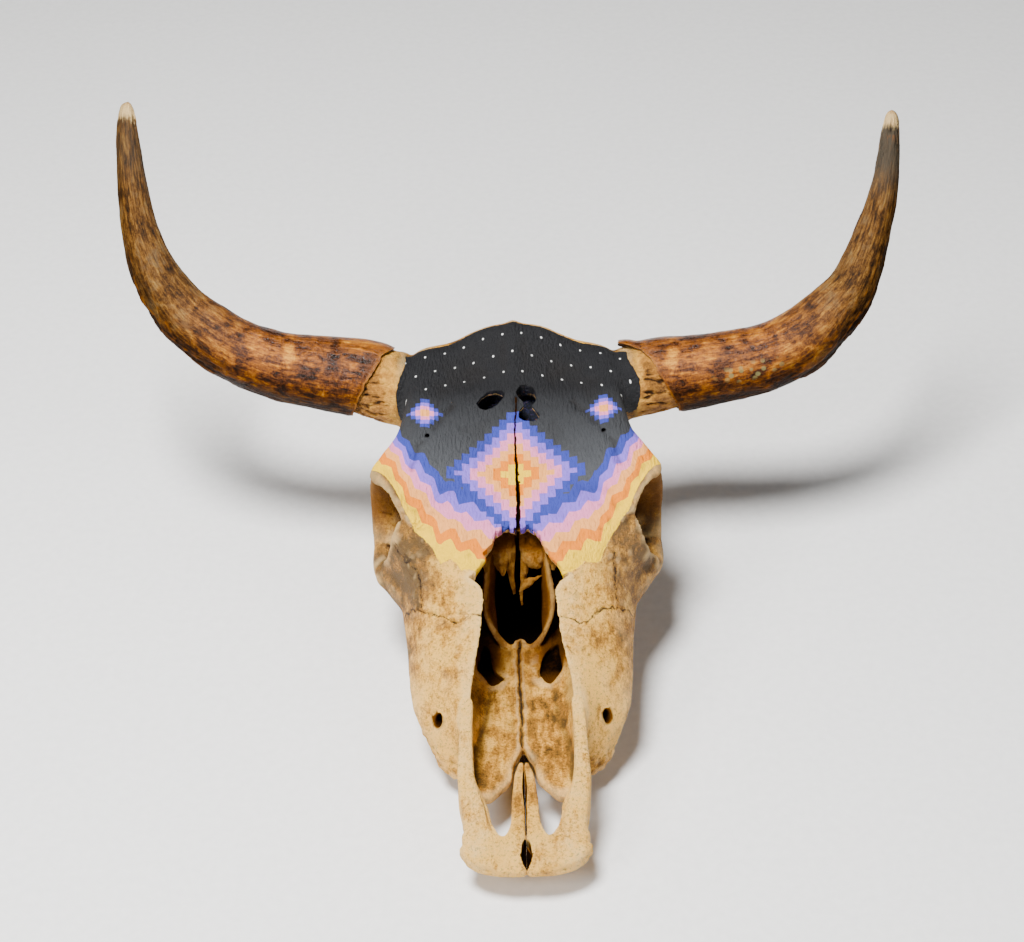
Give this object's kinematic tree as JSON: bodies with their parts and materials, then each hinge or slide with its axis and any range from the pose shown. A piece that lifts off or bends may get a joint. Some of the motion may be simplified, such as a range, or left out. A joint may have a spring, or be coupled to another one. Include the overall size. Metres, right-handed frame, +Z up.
{
  "type": "painted cow skull",
  "caption": "Weathered cow skull without its lower jaw, with curved horns on their bone cores and a painted forehead, resting on its cheek teeth and the back of its base.",
  "frame": {"origin": "middle of the object's footprint, at the height of the surface it rests on", "axes": "+X to the skull's left, along the horns' span; +Y back from the nose tip to the poll; +Z up from the palate to the forehead and the horn tips"},
  "size_m": [0.6786, 0.5606, 0.4067],
  "materials": {
    "painted_bone": "matte",
    "bone": "matte",
    "horn": "satin",
    "enamel": "satin"
  },
  "bodies": {
    "root": {"skull": "painted_bone", "incisive_bone_left": "bone", "horn_sheath_left": "horn", "premolar_3_left": "enamel", "premolar_4_left": "enamel", "molar_1_left": "enamel", "molar_2_left": "enamel", "molar_3_left": "enamel", "incisive_bone_right": "bone", "horn_sheath_right": "horn", "premolar_3_right": "enamel", "premolar_4_right": "enamel", "molar_1_right": "enamel", "molar_2_right": "enamel", "molar_3_right": "enamel"}
  },
  "joints": []
}
